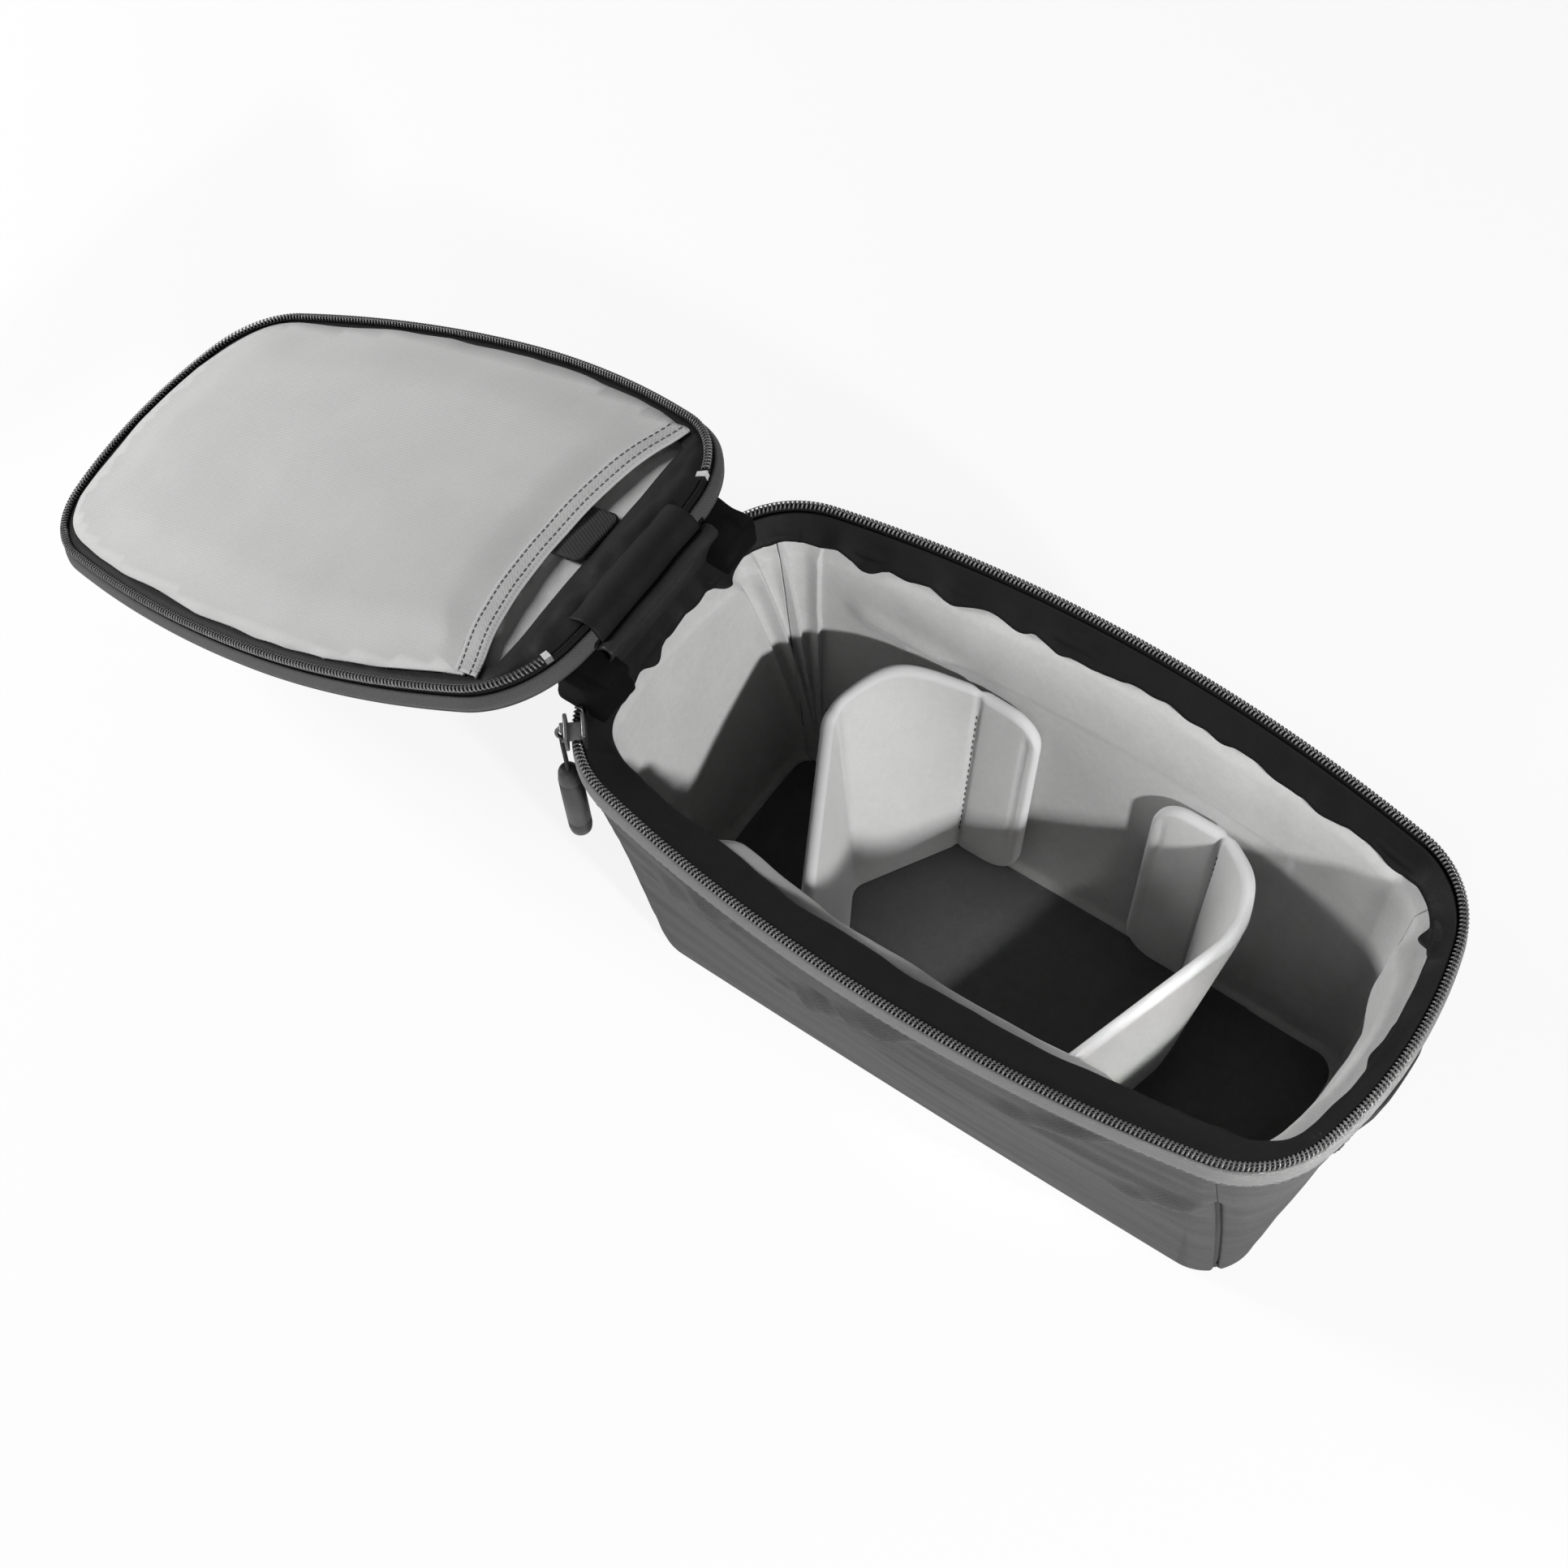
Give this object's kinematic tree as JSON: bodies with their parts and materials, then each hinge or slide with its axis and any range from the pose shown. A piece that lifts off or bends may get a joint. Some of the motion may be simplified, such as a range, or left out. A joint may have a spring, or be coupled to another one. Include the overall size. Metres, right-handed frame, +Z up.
{
  "type": "camera bag insert",
  "caption": "Padded tapered camera tub with a zipped end-hinged lid, a stretch lid pocket, sliding padded dividers and a grab loop.",
  "frame": {"origin": "middle of the underside of the tub", "axes": "+X along the tub away from the lid hinge, +Y to the back, +Z up"},
  "size_m": [0.5662, 0.1628, 0.1611],
  "materials": {
    "outer_fabric": "woven, dark grey",
    "foam": "closed-cell foam pad",
    "lining": "light grey velour",
    "band_fabric": "woven band, mid grey",
    "black_fabric": "woven, near black",
    "zip_coil": "moulded coil",
    "zip_metal": "dark coated",
    "stop_metal": "bare",
    "divider_velour": "padded velour",
    "pocket_knit": "stretch knit",
    "pull_rubber": "satin"
  },
  "bodies": {
    "tub": {"back_fabric": "outer_fabric", "back_foam": "foam", "back_lining": "lining", "base_fabric": "outer_fabric", "base_foam": "foam", "floor_lining": "lining", "free_end_fabric": "outer_fabric", "free_end_foam": "foam", "free_end_lining": "lining", "front_fabric": "outer_fabric", "front_foam": "foam", "front_lining": "lining", "grab_loop": "black_fabric", "hinge_end_fabric": "outer_fabric", "hinge_end_foam": "foam", "hinge_end_lining": "lining", "hinge_flap": "black_fabric", "rim_band": "band_fabric", "rim_collar": "black_fabric", "zip_chain": "zip_coil", "zip_garage_back": "black_fabric", "zip_garage_front": "black_fabric", "zip_tape": "black_fabric"},
    "lid": {"lid_band": "outer_fabric", "lid_border": "black_fabric", "lid_fabric": "outer_fabric", "lid_flap": "black_fabric", "lid_foam": "foam", "lid_lining": "lining", "lid_pocket": "pocket_knit", "lid_pocket_hem": "pocket_knit", "lid_pocket_tab": "black_fabric", "lid_zip_chain": "zip_coil", "lid_zip_stop_back": "stop_metal", "lid_zip_stop_front": "stop_metal", "lid_zip_tape": "black_fabric"},
    "slider": {"zip_slider": "zip_metal", "slider_bail": "zip_metal"},
    "pull": {"pull_cord": "black_fabric", "pull_tube": "pull_rubber"},
    "left_divider": {"left_divider_back_wing": "divider_velour", "left_divider_front_panel": "divider_velour", "left_divider_front_wing": "divider_velour", "left_divider_rear_panel": "divider_velour"},
    "right_divider": {"right_divider_back_wing": "divider_velour", "right_divider_front_panel": "divider_velour", "right_divider_front_wing": "divider_velour", "right_divider_rear_panel": "divider_velour"}
  },
  "joints": [
    {"name": "lid_hinge", "type": "hinge", "parent": "tub", "child": "lid", "pos_m": [-0.1367, 0, 0.1549], "axis": [0, 1, 0], "range_deg": [0, 202.6]},
    {"name": "slider_travel", "type": "hinge", "parent": "tub", "child": "slider", "pos_m": [-0.1063, -0.0308, 0.142], "axis": [0, 0, 1], "range_deg": [-7, 30]},
    {"name": "pull_swing", "type": "hinge", "parent": "slider", "child": "pull", "pos_m": [-0.13855, -0.05786, 0.1385], "axis": [-0.6428, 0.766, 0], "range_deg": [0, 60]},
    {"name": "left_divider_slide", "type": "slide", "parent": "tub", "child": "left_divider", "axis": [1, 0, 0], "range_m": [-0.015, 0.015]},
    {"name": "right_divider_slide", "type": "slide", "parent": "tub", "child": "right_divider", "axis": [1, 0, 0], "range_m": [-0.015, 0.015]}
  ]
}
